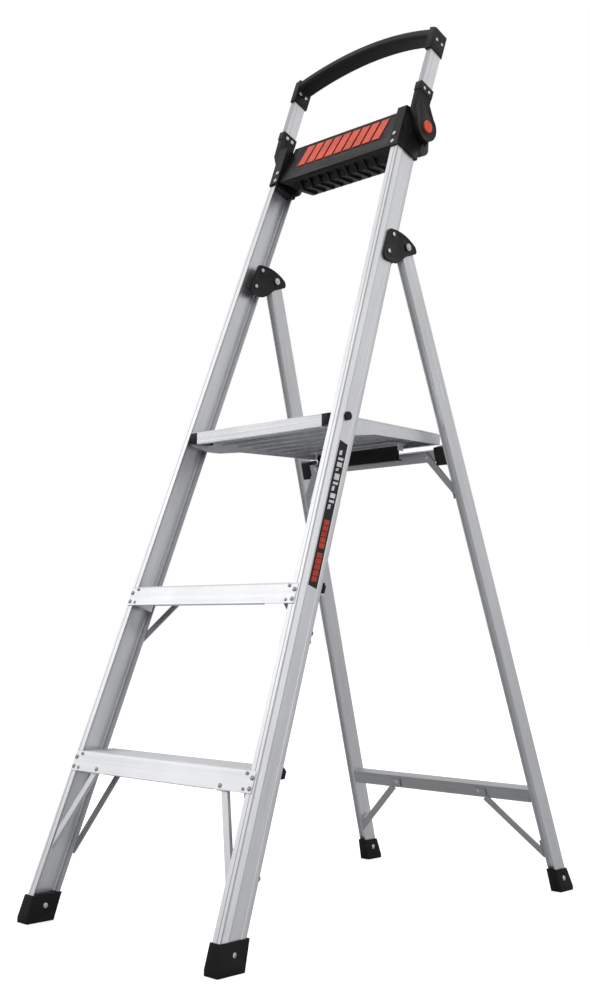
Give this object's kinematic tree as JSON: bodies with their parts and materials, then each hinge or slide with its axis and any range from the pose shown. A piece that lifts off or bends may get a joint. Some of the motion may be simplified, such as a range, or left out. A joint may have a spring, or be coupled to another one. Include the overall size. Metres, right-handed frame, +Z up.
{
  "type": "step stool",
  "caption": "Tall folding platform step stool with channel rails, treads, a fold-up platform, a tool tray and a folding handrail.",
  "frame": {"origin": "on the ground, in the middle between the front and rear feet and between the two sides", "axes": "+Z up, -Y towards the climber at the front, +X to the right as seen from the front"},
  "size_m": [0.5386, 0.978, 1.7724],
  "materials": {
    "aluminium": "satin extruded aluminium with fine lengthwise lines",
    "rear_aluminium": "duller mill-finish aluminium",
    "rivet_aluminium": "smooth bright rivet heads",
    "steel": "plain zinc-plated steel",
    "rubber": "matt black rubber",
    "black_plastic": "finely textured black moulding",
    "grip_plastic": "softer textured black moulding",
    "button_plastic": "smooth orange-red moulding",
    "accent_plastic": "smooth red inlay",
    "label_film": "printed black film"
  },
  "bodies": {
    "front_frame": {"rail_left": "aluminium", "rail_right": "aluminium", "step_lower": "aluminium", "step_middle": "aluminium", "step_rivets": "rivet_aluminium", "front_brace_left": "aluminium", "front_brace_right": "aluminium", "rear_brace_left": "rear_aluminium", "rear_brace_right": "rear_aluminium", "middle_brace_left": "rear_aluminium", "middle_brace_right": "rear_aluminium", "front_foot_left": "rubber", "front_foot_right": "rubber", "front_foot_rivets": "rivet_aluminium", "bracket_outer_left": "black_plastic", "bracket_outer_right": "black_plastic", "bracket_inner_left": "black_plastic", "bracket_inner_right": "black_plastic", "bracket_rivets": "rivet_aluminium", "leg_pivot_pins": "steel", "leg_bumpers": "rubber", "side_label": "label_film", "tool_tray": "black_plastic", "tray_inlay": "accent_plastic", "housing_left": "black_plastic", "housing_right": "black_plastic", "tray_rivets": "rivet_aluminium", "platform_bolts": "black_plastic", "platform_spacers": "black_plastic", "button_springs": "steel"},
    "rear_frame": {"leg_left": "rear_aluminium", "leg_right": "rear_aluminium", "leg_bushes": "black_plastic", "crossbar_upper": "rear_aluminium", "crossbar_lower": "rear_aluminium", "bar_block_left": "black_plastic", "bar_block_right": "black_plastic", "upper_strut_left": "rear_aluminium", "upper_strut_right": "rear_aluminium", "lower_strut_left": "rear_aluminium", "lower_strut_right": "rear_aluminium", "strut_rivets": "rivet_aluminium", "rear_foot_left": "rubber", "rear_foot_right": "rubber", "rear_foot_rivets": "rivet_aluminium"},
    "platform": {"platform_deck": "aluminium", "platform_side_left": "aluminium", "platform_side_right": "aluminium", "platform_block_left": "black_plastic", "platform_block_right": "black_plastic", "latch_bracket": "aluminium"},
    "latch": {"platform_latch": "black_plastic"},
    "handrail": {"arm_left": "black_plastic", "arm_right": "black_plastic", "tube_left": "aluminium", "tube_right": "aluminium", "grip": "grip_plastic", "handrail_rivets": "rivet_aluminium"},
    "left_button": {"button_left": "button_plastic"},
    "right_button": {"button_right": "button_plastic"}
  },
  "joints": [
    {"name": "rear_frame_fold", "type": "hinge", "parent": "front_frame", "child": "rear_frame", "pos_m": [0, 0.05467, 1.26497], "axis": [-1, 0, 0], "range_deg": [0, 38]},
    {"name": "platform_fold", "type": "hinge", "parent": "front_frame", "child": "platform", "pos_m": [0, -0.13811, 0.90809], "axis": [1, 0, 0], "range_deg": [0, 70]},
    {"name": "handrail_fold", "type": "hinge", "parent": "front_frame", "child": "handrail", "pos_m": [0, 0.11126, 1.52277], "axis": [-1, 0, 0], "range_deg": [0, 180]},
    {"name": "latch_release", "type": "hinge", "parent": "platform", "child": "latch", "pos_m": [0, 0.12989, 0.88809], "axis": [-1, 0, 0], "range_deg": [0, 22], "stiffness_Nm_per_rad": 0.15},
    {"name": "left_button_press", "type": "slide", "parent": "handrail", "child": "left_button", "axis": [1, 0, 0], "range_m": [0, 0.0035], "stiffness_N_per_m": 500},
    {"name": "right_button_press", "type": "slide", "parent": "handrail", "child": "right_button", "axis": [-1, 0, 0], "range_m": [0, 0.0035], "stiffness_N_per_m": 500}
  ],
  "couplings": [
    {"joint": "platform_fold", "follows": "rear_frame_fold", "ratio": 1.8421}
  ]
}
